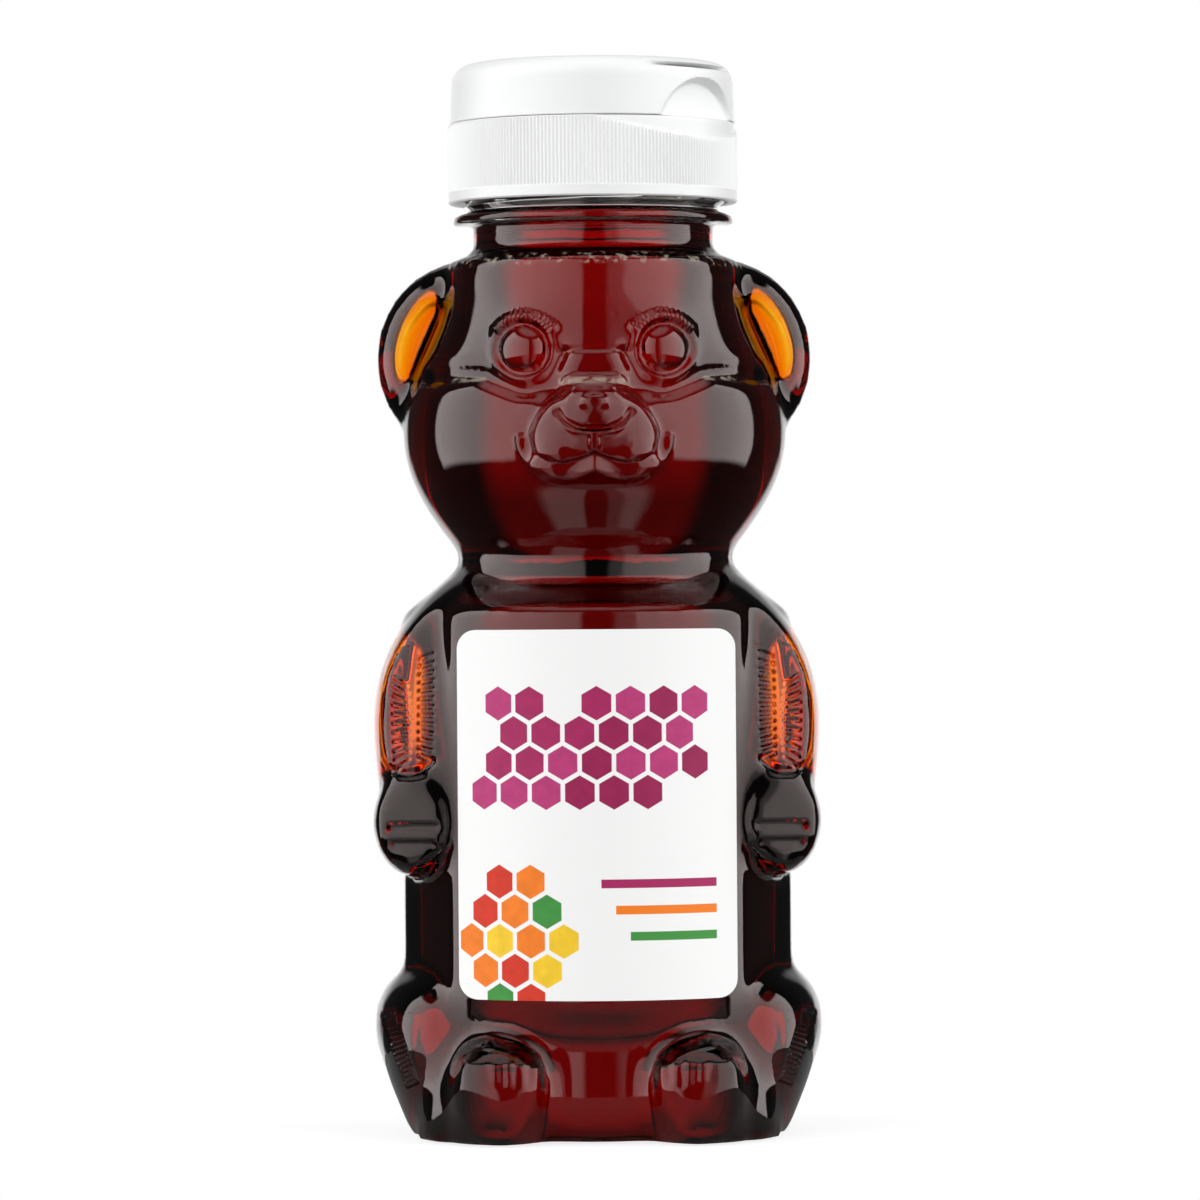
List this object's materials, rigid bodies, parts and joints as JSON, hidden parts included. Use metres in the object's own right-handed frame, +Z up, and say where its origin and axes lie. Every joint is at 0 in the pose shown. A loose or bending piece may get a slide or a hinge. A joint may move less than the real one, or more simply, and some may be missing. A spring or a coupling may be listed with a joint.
{
  "type": "honey bear bottle",
  "caption": "Clear squeeze bottle shaped like a sitting bear, full of dark honey, with a belly label and a white screw cap whose flip-top lid closes the spout.",
  "frame": {"origin": "middle of the base, on the surface that the bottle stands on, under the neck's axis", "axes": "+Z up along the neck's axis, the bear faces -Y, +X to the right seen from the front"},
  "size_m": [0.063, 0.0561, 0.1499],
  "materials": {
    "clear_pet": "clear, glossy, blown",
    "dark_honey": "clear dark amber liquid",
    "label_film": "printed film, satin",
    "liner_foam": "soft white foam",
    "white_closure": "moulded, semi-gloss"
  },
  "bodies": {
    "bottle": {"bottle_shell": "clear_pet", "bottle_neck": "clear_pet", "honey": "dark_honey", "front_label": "label_film"},
    "sealing_ring": {"cap_liner": "liner_foam"},
    "cap": {"cap_base": "white_closure", "hinge_strap": "white_closure"},
    "lid": {"cap_lid": "white_closure"}
  },
  "joints": [
    {"name": "cap_lift", "type": "slide", "parent": "bottle", "child": "sealing_ring", "axis": [0, 0, 1], "range_m": [0, 0.0053]},
    {"name": "cap_turn", "type": "hinge", "parent": "sealing_ring", "child": "cap", "pos_m": [0, 0, 0.1394], "axis": [0, 0, 1], "range_deg": [0, 450]},
    {"name": "lid_flip", "type": "hinge", "parent": "cap", "child": "lid", "pos_m": [-0.01615, 0.01262, 0.14155], "axis": [-0.6157, -0.788, 0], "range_deg": [0, 150], "deforming": ["hinge_strap"]}
  ],
  "couplings": [
    {"joint": "cap_lift", "follows": "cap_turn", "m_per_rad": 0.00067375}
  ]
}
